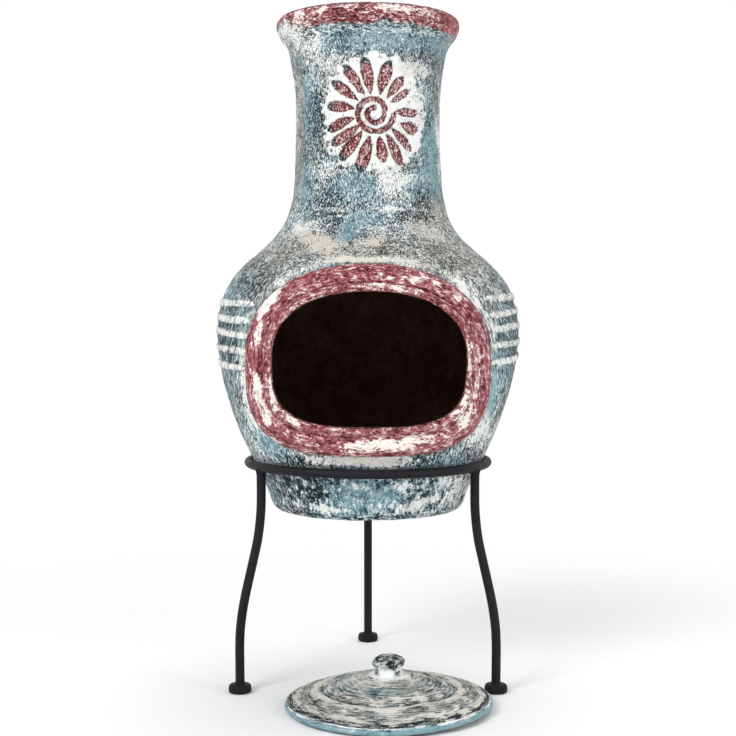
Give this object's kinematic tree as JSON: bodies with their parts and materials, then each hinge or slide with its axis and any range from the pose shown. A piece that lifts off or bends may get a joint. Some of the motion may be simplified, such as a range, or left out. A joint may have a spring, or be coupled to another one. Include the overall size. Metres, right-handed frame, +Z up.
{
  "type": "chiminea",
  "caption": "Fired clay outdoor fireplace with a round belly, open oval mouth and tall neck, standing in an iron ring on bent legs, with its domed clay lid set on the ground in front.",
  "frame": {"origin": "on the ground under the axis of the stand and of the clay body", "axes": "+Z up, the mouth faces -Y, +X to the right as seen from the front"},
  "size_m": [0.3442, 0.4211, 0.7415],
  "materials": {
    "blue_clay": "matt paint over fired clay, dry-brushed white with dark crackle",
    "red_clay": "matt dusty red paint, worn white on the high places",
    "white_clay": "matt off-white paint on raised clay",
    "lid_clay": "matt grey-cream and blue-grey brushed rings",
    "sand": "dry sand darkened by ash",
    "black_iron": "satin black paint on round rod",
    "black_cap": "matt black moulded cap"
  },
  "bodies": {
    "stand": {"stand_ring": "black_iron", "leg_back": "black_iron", "leg_left": "black_iron", "leg_right": "black_iron", "foot_back": "black_cap", "foot_left": "black_cap", "foot_right": "black_cap"},
    "fire_body": {"fire_bowl": "blue_clay", "chimney_neck": "blue_clay", "chimney_rim": "red_clay", "mouth_surround": "red_clay", "side_ribs_left": "white_clay", "side_ribs_right": "white_clay", "sun_rays": "white_clay", "sun_spiral": "white_clay", "sand_bed": "sand"},
    "lid": {"lid_dome": "lid_clay", "lid_knob": "lid_clay"}
  },
  "joints": [
    {"name": "body_lift", "type": "slide", "parent": "stand", "child": "fire_body", "axis": [0, 0, 1], "range_m": [0, 0.12]},
    {"name": "lid_lift", "type": "slide", "parent": "stand", "child": "lid", "axis": [0, -0.8, 0.6], "range_m": [0, 0.35]}
  ]
}
